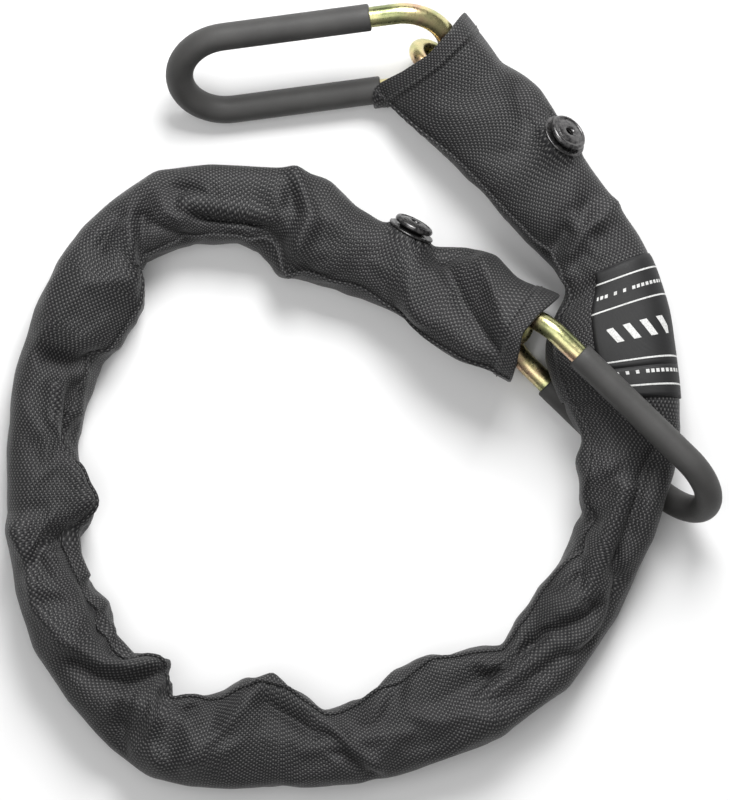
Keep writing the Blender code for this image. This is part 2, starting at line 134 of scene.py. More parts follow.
OUTER_EDGE = [
    (42.3, 149.2), (60.6, 131.9), (72.9, 112.8), (81.7, 97.5), (93.2, 82.1), (106.6, 63.0), (112.4, 51.5),
    (118.1, 34.2), (121.9, 3.6), (122.7, -11.7), (120.0, -27.1), (116.2, -38.6), (112.4, -53.9),
    (106.6, -65.4), (99.0, -84.5), (91.3, -96.0), (79.8, -111.4), (68.3, -119.0), (53.0, -128.6),
    (33.8, -136.3), (14.7, -143.9), (-0.7, -147.7), (-23.6, -150.4), (-49.3, -150.8), (-65.8, -148.9),
    (-81.1, -145.1), (-96.4, -134.3), (-112.9, -115.2), (-125.9, -96.0), (-132.8, -74.2), (-136.7, -45.1),
    (-136.7, -19.4), (-134.8, -0.2), (-132.8, 11.3), (-125.2, 34.2), (-115.6, 53.4), (-107.2, 65.7),
    (-96.4, 76.4), (-79.2, 88.6), (-58.1, 90.6), (-23.6, 88.6), (-12.2, 84.8), (-0.7, 73.7), (10.8, 66.0),
    (17.7, 61.8), (28.1, 59.1), (39.6, 59.1), (53.0, 55.3), (74.1, 45.0),
]
# Creases that are pressed in before the cloth settles: points in plan, depth, reach.
# A ridge has a negative depth.
CREASES = [
    ([(84.8, -45.1), (93.2, -55.8), (102.0, -73.0)], 6.0, 4.0),
    ([(102.0, -73.8), (91.3, -81.5), (64.9, -93.0), (48.0, -106.0)], 6.0, 4.0),
    ([(-130.9, -50.0), (-127.1, -63.5), (-124.2, -78.8), (-113.7, -92.2), (-100.3, -99.8), (-88.8, -101.8),
      (-78.0, -101.2)], -5.0, 3.5),
    ([(-109.8, -101.8), (-100.3, -107.5), (-88.8, -109.4), (-75.4, -103.7)], 5.5, 3.5),
    ([(-83.0, -115.2), (-92.6, -120.9), (-93.7, -134.3)], 6.0, 3.5),
    ([(-81.1, -117.1), (-81.1, -126.7), (-78.5, -138.0)], -3.5, 3.0),
    ([(-76.5, -115.2), (-71.5, -120.9), (-63.9, -117.1)], 5.0, 3.0),
    ([(-39.0, -109.5), (-54.3, -126.7), (-67.0, -138.0)], -4.0, 4.0),
    ([(-37.0, -115.2), (-23.6, -122.8), (5.1, -145.8)], 5.0, 3.5),
    ([(-35.1, -107.5), (-16.0, -120.9), (7.0, -143.9)], -3.0, 2.5),
    ([(-106.0, -57.7), (-100.3, -78.8), (-92.6, -92.2)], 5.0, 8.0),
    ([(-134.7, -42.4), (-117.5, -42.4)], 1.5, 2.0),
    ([(-127.1, -63.5), (-117.5, -53.9), (-107.9, -52.0)], 6.0, 4.0),
    ([(-84.2, 46.6), (-106.8, 44.6), (-115.6, 32.3), (-126.3, 18.9)], -2.5, 4.0),
    ([(-126.3, 17.8), (-119.4, 5.5), (-109.1, -15.6)], 6.5, 5.0),
    ([(-73.5, 84.1), (-59.3, 71.4), (-44.0, 71.4)], 4.0, 4.0),
    ([(-88.0, 71.4), (-77.3, 65.7), (-66.9, 60.3)], 3.5, 4.0),
    ([(-88.8, 72.5), (-87.9, 61.1), (-87.9, 53.0)], -5.0, 2.5),
    ([(-84.4, 70.6), (-84.4, 55.4)], 5.0, 3.0),
    ([(-93.6, 70.6), (-100.3, 58.1)], 4.0, 3.0),
    ([(-67.7, 78.3), (-61.9, 72.5), (-52.4, 68.7), (-35.1, 67.8)], 4.5, 3.0),
    ([(-25.6, 86.0), (-19.8, 70.6), (-23.6, 61.1), (-27.5, 50.0)], -5.0, 3.0),
    ([(-26.6, 80.0), (-27.5, 66.8), (-32.3, 60.1)], 4.5, 3.0),
    ([(-127.1, 17.0), (-119.4, 7.4), (-117.5, -8.0), (-109.8, -25.2), (-105.5, -40.4)], -4.5, 3.0),
    ([(-108.5, 3.6), (-108.5, -15.6)], 5.0, 6.0),
    ([(-121.3, 15.1), (-111.7, 13.2), (-100.3, 15.1)], 5.5, 3.5),
    ([(-117.5, -42.4), (-127.1, -63.5)], -3.0, 2.5),
    ([(91.3, 63.0), (81.7, 50.3)], 4.0, 3.0),
    ([(72.5, 57.0), (80.0, 66.5), (87.0, 74.5)], 4.0, 3.0),
    ([(79.0, 56.0), (88.0, 66.0), (97.0, 75.0)], -2.5, 3.0),
    ([(59.8, 120.3), (61.7, 108.9), (68.0, 92.0)], 3.0, 4.0),
    ([(84.8, 52.6), (76.0, 43.8)], -3.0, 3.0),
    ([(88.0, 44.0), (79.5, 37.5)], 3.5, 3.0),
    ([(26.2, 53.4), (36.5, 58.4), (41.5, 57.2)], 3.0, 3.0),
    ([(30.4, 57.0), (34.0, 46.0), (37.5, 37.0), (45.0, 25.0), (51.0, 17.0)], 5.0, 4.0),
    ([(45.3, 53.4), (50.0, 42.0), (54.1, 29.3)], -3.0, 3.5),
    ([(113.1, -20.5), (103.9, -35.9), (101.6, -51.2)], 4.0, 3.5),
    ([(79.8, -55.0), (83.6, -64.2), (88.6, -73.0), (90.1, -83.4)], 4.5, 3.0),
    ([(102.8, -73.8), (96.3, -78.0), (90.1, -83.8)], -3.5, 2.5),
    ([(102.0, -79.5), (96.3, -91.0), (88.6, -96.0), (71.0, -101.0)], 4.5, 3.0),
    ([(63.3, -92.2), (64.5, -101.0), (50.3, -108.7), (45.3, -104.8)], 4.5, 2.5),
    ([(46.5, -106.4), (63.3, -93.3)], -3.5, 2.5),
]

# Where a point lies across its ring, and how far each mouth's rim stands out there
MOUTH_SIDES = [-1.0, -0.5, 0.0, 0.5, 1.0]
MOUTH_A = [4.0, 1.0, -0.5, 1.5, 4.5]
MOUTH_B = [0.5, -1.5, -3.0, 0.0, 5.0]
MOUTH_FADE = 9.0
# How much of the sleeve keeps its usual width at the first mouth and at the second
KEPT_A, KEPT_B = 20.0, 12.0
# The least and the greatest share of the usual reach that an edge may set
LEAST_REACH, MOST_REACH = 0.45, 1.7
# The label's start, past the third hinge of the tail, and its length, both along the route
LABEL_START, LABEL_LENGTH = 7.0, 52.0

# The sleeve's ring grid: points in a ring, distance between rings, how square a ring is, the seam's column,
# the cloth's thickness, and the lowest that its outside and its inside may lie
AROUND = 80
ROW_STEP = 1.6
SECTION_POWER = 2.6
SEAM_COLUMN = 34
CLOTH_WALL = 0.8
FLOOR_GAP, LINING_GAP = 0.7, 0.9

LINKS = 24
LINK_BAR, LOOP_BAR = 6.0, 8.0
# A link's section inside the sleeve: half of what lies between its two bars, and the room round each bar
LINK_HALF, LINK_ROOM = 8.0, 4.3
# How far past its two hinges a flat link holds the cloth out, and an upright one
FLAT_REACH, UPRIGHT_REACH = 9.5, 3.0
# Roll of the links in the mouths about their own length, in degrees
LINK_ROLL = {1: 28.0, 2: 14.0, 23: -5.0, 24: -17.0}
# How far the end links reach past the points that the two loops turn about
LINK_TIPS = (12.0, 7.5)
WELD_BEAD, WELD_WIDTH = 0.28, 1.1

# The rubber tube's two radii, and the length of loop that it covers
RUBBER_INNER, RUBBER_OUTER, RUBBER_REACH = 4.15, 5.3, 80.0
# Rounded end of the rubber tube: distance along the bar, radius
RUBBER_RIM = [(0.0, 4.25), (0.0, 4.7), (0.25, 5.1), (0.7, RUBBER_OUTER)]
# How near to a loop the cloth is tested against it, and the room that the loop keeps
LOOP_NEAR, LOOP_ROOM = 12.0, 1.3

# The press stud's parts, each turned from a closed profile of (radius, height) pairs
STUD_FLANGE = [
    (2.4, -0.3), (8.3, -0.3), (9.2, 0.15), (9.2, 0.7), (8.5, 0.95), (7.2, 0.7), (5.6, 0.75), (4.3, 1.2),
    (4.1, 2.6), (2.4, 2.6),
]
STUD_CAP = [
    (1.5, 3.05), (4.6, 3.05), (4.9, 1.95), (7.1, 1.9), (7.75, 2.3), (7.8, 3.2), (7.3, 3.9), (6.5, 4.15),
    (6.1, 3.8), (5.6, 3.8), (5.1, 4.1), (3.2, 4.45), (2.2, 4.4), (1.75, 4.1), (1.5, 3.7),
]
# How far the cloth's middle surface lies below the flange
STUD_DROP = 0.35
# The cloth under a stud lies flat this far out, and beside it the cloth isn't above the flange
STUD_FLAT, STUD_LOW = 9.0, 12.0

# The cloth's settling: rounds, what share of its speed a point keeps, its top speed, and its sag in a round
ROUNDS, QUICK_ROUNDS = 110, 30
KEPT_SPEED, TOP_SPEED, SAG = 0.88, 0.6, 0.012
# How stiff it is along the sleeve, around it and in shear, and in bending over each number of rings
STRETCH = (0.9, 0.9, 0.25)
BENDS = ((2, 0.10), (5, 0.05))
# How much longer its threads along the sleeve are than the shape it is pressed into
SPARE = 1.012
# How much of a crease's depth is pressed in, and the deepest valley and highest ridge
CREASE_SHARE, VALLEY, RIDGE = 1.3, -10.0, 5.0

# In metres: the camera's place, the height it is framed at, and what the picture's long side spans there
CAMERA_PLACE = (0.00126, -0.00024, 3.2)
FRAMED_HEIGHT, FRAMED_LENGTH = 0.02, 0.3065
SENSOR = 36.0


# ---------------------------------------------------------------- camera, light and floor
def look_down():
    """A long lens straight above the lock, which fills the frame."""
    data = bpy.data.cameras.new("camera")
    data.sensor_width = SENSOR
    data.sensor_fit = "AUTO"
    data.lens = SENSOR * (CAMERA_PLACE[2] - FRAMED_HEIGHT) / FRAMED_LENGTH
    data.clip_start, data.clip_end = 0.1, 50.0
    camera = bpy.data.objects.new("camera", data)
    camera.location = CAMERA_PLACE
    bpy.context.scene.collection.objects.link(camera)
    bpy.context.scene.camera = camera


def area_light(name, place, size, power):
    """A square soft light that faces the lock."""
    data = bpy.data.lights.new(name, "AREA")
    data.size = size
    data.energy = power
    lamp = bpy.data.objects.new(name, data)
    lamp.location = place
    lamp.rotation_mode = "QUATERNION"
    lamp.rotation_quaternion = (Vector((0.0, 0.0, 0.0)) - Vector(place)).to_track_quat("-Z", "Y")
    bpy.context.scene.collection.objects.link(lamp)


def pale_sky():
    """A world that is grey near the horizon and white above."""
    world = bpy.data.worlds.new("world")
    world.use_nodes = True
    sky = world.node_tree
    where = sky.nodes.new("ShaderNodeTexCoord")
    parts = sky.nodes.new("ShaderNodeSeparateXYZ")
    shades = sky.nodes.new("ShaderNodeValToRGB")
    for element, place, shade in zip(shades.color_ramp.elements, (0.05, 0.75), (0.16, 1.0)):
        element.position = place
        element.color = (shade, shade, shade, 1.0)
    sky.links.new(where.outputs["Generated"], parts.inputs[0])
    sky.links.new(parts.outputs[2], shades.inputs["Fac"])
    sky.links.new(shades.outputs["Color"], sky.nodes["Background"].inputs[0])
    sky.nodes["Background"].inputs[1].default_value = 0.42
    bpy.context.scene.world = world


def pale_floor():
    """A plain floor just under the lock."""
    look = Nodes("floor")
    look.set(Base_Color=(0.86, 0.86, 0.86), Roughness=0.9)
    bpy.ops.mesh.primitive_plane_add(size=3.0, location=(0.0, 0.0, -0.0002))
    floor = bpy.context.object
    floor.name = "floor"
    floor.data.materials.append(look.material)
    floor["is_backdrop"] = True


# ---------------------------------------------------------------- node materials
class Nodes:
    """A Principled material and short calls that add nodes to it."""

    def __init__(self, name):
        self.material = bpy.data.materials.new(name)
        self.material.use_nodes = True
        self.tree = self.material.node_tree
        self.shader = self.tree.nodes["Principled BSDF"]

    def add(self, kind, **settings):
        node = self.tree.nodes.new(kind)
        for key, value in settings.items():
            setattr(node, key, value)
        return node

    def give(self, socket, given):
        """Link a socket to another node's output, or set it to a number or a colour."""
        if isinstance(given, bpy.types.NodeSocket):
            self.tree.links.new(given, socket)
        else:
            socket.default_value = (*given, 1.0) if isinstance(given, tuple) else given

    def give_all(self, node, **values):
        """Give a node's sockets by name, with _ for each space."""
        for key, given in values.items():
            self.give(node.inputs[key.replace("_", " ")], given)

    def set(self, **values):
        self.give_all(self.shader, **values)

    def math(self, operation, *given):
        node = self.add("ShaderNodeMath", operation=operation)
        for socket, value in zip(node.inputs, given):
            self.give(socket, value)
        return node.outputs[0]

    def noise(self, vector, scale, detail, roughness):
        node = self.add("ShaderNodeTexNoise")
        self.give_all(node, Vector=vector, Scale=scale, Detail=detail, Roughness=roughness)
        return node.outputs["Fac"]

    def ramp(self, factor, *stops):
        """Colours or greys at their places on the factor."""
        node = self.add("ShaderNodeValToRGB")
        self.give(node.inputs["Fac"], factor)
        elements = node.color_ramp.elements
        while len(elements) < len(stops):
            elements.new(0.5)
        for element, (place, colour) in zip(elements, stops):
            element.position = place
            element.color = (*colour, 1.0) if isinstance(colour, tuple) else (colour, colour, colour, 1.0)
        return node.outputs["Color"]

    def mix(self, factor, a, b, blend="MIX"):
        node = self.add("ShaderNodeMix", data_type="RGBA", blend_type=blend)
        for index, given in ((0, factor), (6, a), (7, b)):
            self.give(node.inputs[index], given)
        return node.outputs[2]

    def bump(self, height, strength, distance):
        node = self.add("ShaderNodeBump")
        self.give_all(node, Height=height, Strength=strength, Distance=distance)
        self.set(Normal=node.outputs["Normal"])

    def uv(self):
        """The cloth's own two coordinates, across it and along it."""
        parts = self.add("ShaderNodeSeparateXYZ")
        self.give(parts.inputs[0], self.add("ShaderNodeTexCoord").outputs["UV"])
        return parts.outputs[0], parts.outputs[1]

    def place(self):
        return self.add("ShaderNodeTexCoord").outputs["Object"]


def weave_material():
    """A coarse plain weave: staggered bright floats on dark cloth, from UVs in metres."""
    float_across, float_along = 0.00084, 0.00099
    n = Nodes("sleeve_weave")
    across, along = n.uv()
    lobes = n.math("MULTIPLY", n.math("SINE", n.math("MULTIPLY", across, math.pi / float_across)),
                   n.math("SINE", n.math("MULTIPLY", along, math.pi / float_along)))
    place = n.place()
    fibre = n.noise(place, 2600.0, 2.0, 0.6)
    bright = n.math("MULTIPLY_ADD", lobes, 0.5, 0.5)
    worn = n.math("MULTIPLY_ADD", n.math("SUBTRACT", fibre, 0.5), 0.5, bright)
    colour = n.ramp(worn, (0.0, (0.005, 0.005, 0.006)), (0.50, (0.011, 0.011, 0.012)),
                    (0.76, (0.043, 0.042, 0.042)), (1.0, (0.142, 0.14, 0.138)))
    shade = n.ramp(n.noise(place, 90.0, 4.0, 0.6), (0.3, 0.82), (0.7, 1.0))
    n.set(Base_Color=n.mix(1.0, colour, shade, "MULTIPLY"), Roughness=0.55, Sheen_Weight=0.08,
          Sheen_Roughness=0.4, Specular_IOR_Level=0.35)
    n.bump(n.math("ABSOLUTE", lobes), 0.6, 0.00025)
    return n.material


def zinc_material():
    """Yellow-passivated zinc: gold with olive, pink and green bloom, polished by wear."""
    n = Nodes("yellow_zinc")
    place = n.place()
    hue = n.ramp(n.noise(place, 55.0, 3.0, 0.55), (0.32, (0.24, 0.27, 0.13)), (0.44, (0.46, 0.46, 0.23)),
                 (0.54, (0.66, 0.58, 0.31)), (0.63, (0.60, 0.40, 0.27)), (0.72, (0.42, 0.48, 0.28)))
    scratch = n.ramp(n.noise(place, 900.0, 3.0, 0.6), (0.3, 0.22), (0.7, 0.38))
    n.set(Base_Color=hue, Roughness=scratch, Metallic=1.0)
    n.bump(n.noise(place, 420.0, 4.0, 0.6), 0.12, 0.0004)
    return n.material


def rubber_material():
    """Matte black rubber tube with faint scuffs."""
    n = Nodes("loop_rubber")
    place = n.place()
    cloudy = n.noise(place, 60.0, 4.0, 0.6)
    scuffs = n.ramp(cloudy, (0.3, (0.044, 0.043, 0.042)), (0.7, (0.060, 0.059, 0.057)))
    grain = n.noise(place, 1800.0, 3.0, 0.6)
    n.set(Base_Color=scuffs, Roughness=n.ramp(grain, (0.3, 0.50), (0.7, 0.66)), Specular_IOR_Level=0.4)
    n.bump(grain, 0.10, 0.0002)
    return n.material


def label_material():
    """A black satin label: white rules, rows of short woven dashes and slanted bars, from UVs in metres."""
    rules, rule_half = (0.0052, 0.0160, 0.0372, 0.0470), 0.00030
    dash_rows, dash_half, dash_step = (0.0107, 0.0421), 0.00065, 0.0019
    bar_row, bar_half, bar_step, bar_slant = 0.0266, 0.0031, 0.0062, 0.55
    rib_step = 0.00022
    n = Nodes("woven_label")
    across, along = n.uv()

    def band(value, middle, half):
        return n.math("LESS_THAN", n.math("ABSOLUTE", n.math("SUBTRACT", value, middle)), half)

    inside = band(across, 0.0240, 0.0218)
    cell = n.math("DIVIDE", across, dash_step)
    dice = n.add("ShaderNodeTexWhiteNoise", noise_dimensions="1D")
    n.give(dice.inputs["W"], n.math("FLOOR", cell))
    dash = n.math("MULTIPLY", n.math("LESS_THAN", n.math("FRACT", cell), 0.66),
                  n.math("LESS_THAN", dice.outputs["Value"], 0.80))
    dash = n.math("MULTIPLY", dash, band(across, 0.0260, 0.0165))
    slant = n.math("DIVIDE", n.math("ADD", across, n.math("MULTIPLY", along, bar_slant)), bar_step)
    bars = n.math("MULTIPLY", n.math("LESS_THAN", n.math("FRACT", slant), 0.42), band(across, 0.0275, 0.0115))
    marks = [n.math("MULTIPLY", band(along, rule, rule_half), inside) for rule in rules]
    marks += [n.math("MULTIPLY", band(along, row, dash_half), dash) for row in dash_rows]
    marks.append(n.math("MULTIPLY", bars, band(along, bar_row, bar_half)))
    ink = marks[0]
    for mark in marks[1:]:
        ink = n.math("MAXIMUM", ink, mark)
    rib = n.math("MULTIPLY_ADD", n.math("SINE", n.math("MULTIPLY", along, math.pi / rib_step)), 0.5, 0.5)
    thread = n.noise(n.place(), 1500.0, 3.0, 0.6)
    cloth = n.ramp(thread, (0.3, (0.004, 0.004, 0.0045)), (0.7, (0.009, 0.009, 0.0095)))
    white = n.ramp(thread, (0.3, (0.44, 0.44, 0.43)), (0.6, (0.66, 0.66, 0.65)))
    n.set(Base_Color=n.mix(ink, cloth, white), Roughness=n.ramp(thread, (0.3, 0.55), (0.7, 0.70)))
    n.bump(n.math("MAXIMUM", rib, ink), 0.25, 0.00012)
    return n.material


def thread_material():
    """Black sewing thread."""
    n = Nodes("sewing_thread")
    twist = n.noise(n.place(), 3000.0, 2.0, 0.5)
    colour = n.ramp(twist, (0.3, (0.018, 0.018, 0.019)), (0.7, (0.075, 0.074, 0.072)))
    n.set(Base_Color=colour, Roughness=0.5, Sheen_Weight=0.1)
    n.bump(twist, 0.3, 0.0001)
    return n.material


def stud_material():
    """Black-nickel press stud: glossy, with fine turning marks and worn spots."""
    n = Nodes("black_nickel")
    place = n.place()
    worn = n.noise(place, 700.0, 4.0, 0.6)
    colour = n.ramp(worn, (0.35, (0.045, 0.044, 0.046)), (0.72, (0.16, 0.157, 0.155)))
    n.set(Base_Color=colour, Roughness=n.ramp(worn, (0.3, 0.20), (0.7, 0.42)), Metallic=0.85)
    n.bump(n.noise(place, 2500.0, 2.0, 0.5), 0.12, 0.00015)
    return n.material


# ---------------------------------------------------------------- sleeve shape
def catmull(points, steps):
    """Catmull-Rom rows through the given rows."""
    rows = np.array(points, float)
    out = []
    last = len(rows) - 1
    for i in range(last):
        p0, p1, p2, p3 = (rows[k] for k in (max(i - 1, 0), i, i + 1, min(i + 2, last)))
        for k in range(steps):
            t = k / steps
            curve = (2 * p0 - 5 * p1 + 4 * p2 - p3) * t * t + (3 * p1 - p0 - 3 * p2 + p3) * t ** 3
            out.append(0.5 * (2 * p1 + (p2 - p0) * t + curve))
    out.append(rows[-1])
    return np.array(out)


def distances(line):
    """How far each point of a line is from its start, measured along the line."""
    return np.concatenate([[0.0], np.cumsum(np.linalg.norm(np.diff(line, axis=0), axis=1))])


class Route:
    """The sleeve's centre line and widths, measured along its length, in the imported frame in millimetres."""

    def __init__(self, points):
        self.rows = catmull([p if len(p) == 8 else p + USUAL_SECTION for p in points], 40)
        self.rows[:, :3] += SHIFT
        self.along = distances(self.rows[:, :3])
        self.length = self.along[-1]

    def row(self, s):
        s = np.clip(s, 0.0, self.length)
        return np.stack([np.interp(s, self.along, self.rows[:, k]) for k in range(8)], axis=-1)

    def frame(self, s):
        """Unit directions at the given distances: along the route, to the left of it, and up."""
        beside = 3.0
        forward = self.row(s + beside)[..., :3] - self.row(s - beside)[..., :3]
        forward /= np.linalg.norm(forward, axis=-1, keepdims=True)
        left = np.stack([-forward[..., 1], forward[..., 0], np.zeros_like(forward[..., 0])], axis=-1)
        left /= np.linalg.norm(left, axis=-1, keepdims=True)
        return forward, left, np.cross(forward, left)

    def nearest(self, point):
        gaps = np.linalg.norm(self.rows[:, :2] - np.array(point[:2]), axis=1)
        return self.along[int(np.argmin(gaps))]


def reach_to(edge, centre, way, usual):
    """How far a plan edge is from a centre, going one way, or the usual reach where nothing is crossed."""
    a = np.array(edge[:-1]) - centre[:2]
    b = np.array(edge[1:]) - centre[:2]
    side = np.array([-way[1], way[0]])
    da, db = a @ side, b @ side
    ta, tb = a @ way[:2], b @ way[:2]
    crossing = da * db <= 0
    share = np.where(crossing, da / np.where(np.abs(da - db) < 1e-9, 1.0, da - db), 0.0)
    found = (ta + (tb - ta) * share)[crossing]
    found = found[(found > LEAST_REACH * usual) & (found < MOST_REACH * usual)]
    return usual if len(found) == 0 else found[np.argmin(np.abs(found - usual))]


def reaches(route, stops):
    """How far the sleeve reaches to its outer side and to its inner side at each ring."""
    rows = route.row(stops)
    _, left, _ = route.frame(stops)
    found = []
    for column, way, edge in ((3, left, OUTER_EDGE), (4, -left, INNER_EDGE)):
        reach = rows[:, column].copy()
        for i, s in enumerate(stops):
            share = min(1.0, (s - KEPT_A) / KEPT_A, (route.length - KEPT_B - s) / KEPT_B)
            if share > 0.0:
                reach[i] += share * (reach_to(edge, rows[i, :3], way[i], reach[i]) - reach[i])
        reach[1:-1] = np.convolve(reach, [0.25, 0.5, 0.25], "valid")
        found.append(reach)
    return found


def base_shape(route):
    """Places along the route, the sleeve's rings there before it settles, and the rings' girths."""
    stops = np.linspace(0.0, route.length, int(round(route.length / ROW_STEP)) + 1)
    rows = route.row(stops)
    _, left, up = route.frame(stops)
    outer, inner = reaches(route, stops)
    turn = 2 * math.pi * np.arange(720) / 720
    c, d = np.cos(turn), np.sin(turn)
    wide = np.sign(c) * np.abs(c) ** (2 / SECTION_POWER)
    tall = np.sign(d) * np.abs(d) ** (2 / SECTION_POWER)
    rings, girth = [], []
    for i, row in enumerate(rows):
        lean = math.radians(row[7])
        side = left[i] * math.cos(lean) + up[i] * math.sin(lean)
        above = up[i] * math.cos(lean) - left[i] * math.sin(lean)
        dense = row[:3] + np.outer(wide * np.where(c > 0, outer[i], inner[i]), side)
        dense = dense + np.outer(tall * np.where(d > 0, row[5], row[6]), above)
        dense[:, 2] = np.maximum(dense[:, 2], FLOOR_GAP)
        closed = np.vstack([dense, dense[:1]])
        along = distances(closed)
        at = along[-1] * np.arange(AROUND) / AROUND
        rings.append(np.stack([np.interp(at, along, closed[:, k]) for k in range(3)], axis=-1))
        girth.append(along[-1])
    return stops, np.array(rings), np.array(girth)


def project(points, axes):
    """How far each ring's points lie along that ring's own axis."""
    return np.einsum("ijk,ik->ij", points, axes)


def across_ring(route, stops, grid):
    """Where each point lies across its ring, from -1 at the inner side to 1 at the outer side."""
    _, left, _ = route.frame(stops)
    side = project(grid - route.row(stops)[:, None, :3], left)
    return side / np.maximum(np.abs(side).max(axis=1, keepdims=True), 1e-6)


def flare(route, stops, grid):
    """Pull the mouths' corners out past their middles."""
    forward, _, _ = route.frame(stops)
    side = across_ring(route, stops, grid)
    near = -np.interp(side, MOUTH_SIDES, MOUTH_A) * np.exp(-stops / MOUTH_FADE)[:, None]
    far = np.interp(side, MOUTH_SIDES, MOUTH_B) * np.exp((stops - stops[-1]) / MOUTH_FADE)[:, None]
    return grid + (near + far)[..., None] * forward[:, None, :]


def surface_normals(grid):
    """Outward unit normals of a ring grid."""
    along = np.empty_like(grid)
    along[1:-1] = grid[2:] - grid[:-2]
    along[0], along[-1] = grid[1] - grid[0], grid[-1] - grid[-2]
    around = np.roll(grid, -1, axis=1) - np.roll(grid, 1, axis=1)
    normal = np.cross(around, along)
    return normal / np.maximum(np.linalg.norm(normal, axis=-1, keepdims=True), 1e-9)


def segment_gap(points, a, b):
    """Distance from points to one segment, and the nearest points on it."""
    ab = b - a
    t = np.clip(((points - a) @ ab) / max(ab @ ab, 1e-9), 0.0, 1.0)
    near = a + t[..., None] * ab
    return np.linalg.norm(points - near, axis=-1), near


def creases(grid, normals):
    """Height of the sharp valleys and ridges on the cloth that faces up."""
    facing = np.clip((normals[..., 2] + 0.10) / 0.5, 0.0, 1.0)
    height = np.zeros(grid.shape[:2])
    for points, depth, reach in CREASES:
        line = np.array(points, float)
        gaps = [segment_gap(grid[..., :2], a, b)[0] for a, b in zip(line[:-1], line[1:])]
        height -= depth * np.exp(-np.min(gaps, axis=0) / reach) * facing
    return height


def facets(x, y, heights):
    """Flat triangular facets between the given lattice heights, closed round in y."""
    i, j = np.floor(x).astype(int), np.floor(y).astype(int)
    fx, fy = x - i, y - j

    def at(a, b):
        return heights[np.clip(i + a, 0, len(heights) - 1), (j + b) % heights.shape[1]]

    h00, h10, h01, h11 = at(0, 0), at(1, 0), at(0, 1), at(1, 1)
    one = np.where(fx + fy < 1.0, h00 + (h10 - h00) * fx + (h01 - h00) * fy,
                   h11 + (h01 - h11) * (1 - fx) + (h10 - h11) * (1 - fy))
    two = np.where(fy < fx, h10 + (h00 - h10) * (1 - fx) + (h11 - h10) * fy,
                   h01 + (h11 - h01) * fx + (h00 - h01) * (1 - fy))
    return np.where((i + j) % 2 == 0, one, two)


def crumple(stops):
    """Large and small facets over the ring grid, as in stiff cloth that has been bent."""
    rng = np.random.default_rng(11)
    s = stops[:, None] + np.zeros((1, AROUND))
    a = np.arange(AROUND)[None, :] / AROUND + np.zeros((len(stops), 1))
    turn = 2 * math.pi
    warp = 6.0 * np.sin(turn * (s / 71.0 + a)) + 4.0 * np.sin(turn * (s / 43.0 - 2 * a) + 1.3)
    drift = 0.05 * np.sin(turn * s / 57.0 + 2.0) + 0.03 * np.sin(turn * (s / 31.0 + a))
    # Large facets are 27 mm long and 8 round the sleeve, small ones 12 mm long and 15 round it
    big = facets((s + warp) / 27.0 + 1.0, (a + drift) * 8.0, rng.uniform(-1.0, 0.9, (48, 8)))
    small = facets((s - warp) / 12.0 + 2.0, (a - drift) * 15.0, rng.uniform(-1.0, 0.8, (96, 15)))
    return 4.8 * big + 0.9 * small


class Cloth:
    """Position-based cloth on a ring grid, whose own rest lengths come from the shape it starts in."""

    def __init__(self, shape):
        self.p = shape.copy()
        self.old = shape.copy()
        self.base = shape.copy()
        self.along = SPARE * np.linalg.norm(shape[1:] - shape[:-1], axis=-1)
        self.around = np.linalg.norm(np.roll(shape, -1, axis=1) - shape, axis=-1)
        self.shear = {way: np.linalg.norm(shape[:-1] - np.roll(shape[1:], way, axis=1), axis=-1)
                      for way in (-1, 1)}
        self.chords = {span: np.linalg.norm(shape[span:] - shape[:-span], axis=-1) for span, _ in BENDS}
        self.arcs = np.linalg.norm(np.roll(shape, -2, axis=1) - shape, axis=-1)

    @staticmethod
    def pull(a, b, rest, k):
        """How far point a moves towards b, by share k, to bring the two to their rest length."""
        d = b - a
        length = np.maximum(np.linalg.norm(d, axis=-1), 1e-6)
        return (0.5 * k * (length - rest) / length)[..., None] * d

    def stretch(self, k_along, k_around, k_shear):
        p = self.p
        for q in (0, 1):
            a, b = p[q:-1:2], p[q + 1::2]
            move = self.pull(a, b, self.along[q::2][: len(a)], k_along)
            a += move
            b -= move
            one = np.arange(q, p.shape[1], 2)
            two = (one + 1) % p.shape[1]
            move = self.pull(p[:, one], p[:, two], self.around[:, one], k_around)
            p[:, one] += move
            p[:, two] -= move
            for way in (-1, 1):
                a, b = p[q:-1:2], np.roll(p[q + 1::2], way, axis=1)
                move = self.pull(a, b, self.shear[way][q::2][: len(a)], k_shear)
                a += move
                p[q + 1::2] -= np.roll(move, -way, axis=1)

    def bend(self, span, k):
        p = self.p
        move = self.pull(p[:-span], p[span:], self.chords[span], k)
        p[:-span] += move
        p[span:] -= move
        move = self.pull(p, np.roll(p, -2, axis=1), self.arcs, 0.6 * k)
        p += move
        p -= np.roll(move, 2, axis=1)

    def advance(self, hold):
        """One round of moving, keeping its lengths and returning towards the shape it started in."""
        speed = (self.p - self.old) * KEPT_SPEED
        self.old = self.p.copy()
        self.p += np.clip(speed, -TOP_SPEED, TOP_SPEED)
        self.p[..., 2] -= SAG
        for _ in range(3):
            self.stretch(*STRETCH)
            for span, k in BENDS:
                self.bend(span, k)
        self.p += hold[..., None] * (self.base - self.p)


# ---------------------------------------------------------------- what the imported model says
def node_points(name):
    """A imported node's vertices in millimetres."""
    mesh = frame["nodes"][name].data
    flat = np.empty(len(mesh.vertices) * 3)
    mesh.vertices.foreach_get("co", flat)
    matrix = np.array(frame["nodes"][name].matrix_world)
    return (flat.reshape(-1, 3) @ matrix[:3, :3].T + matrix[:3, 3]) / MM


JOINTS = {joint["name"]: joint for joint in frame["record"]["behaviour"]["joints"]}


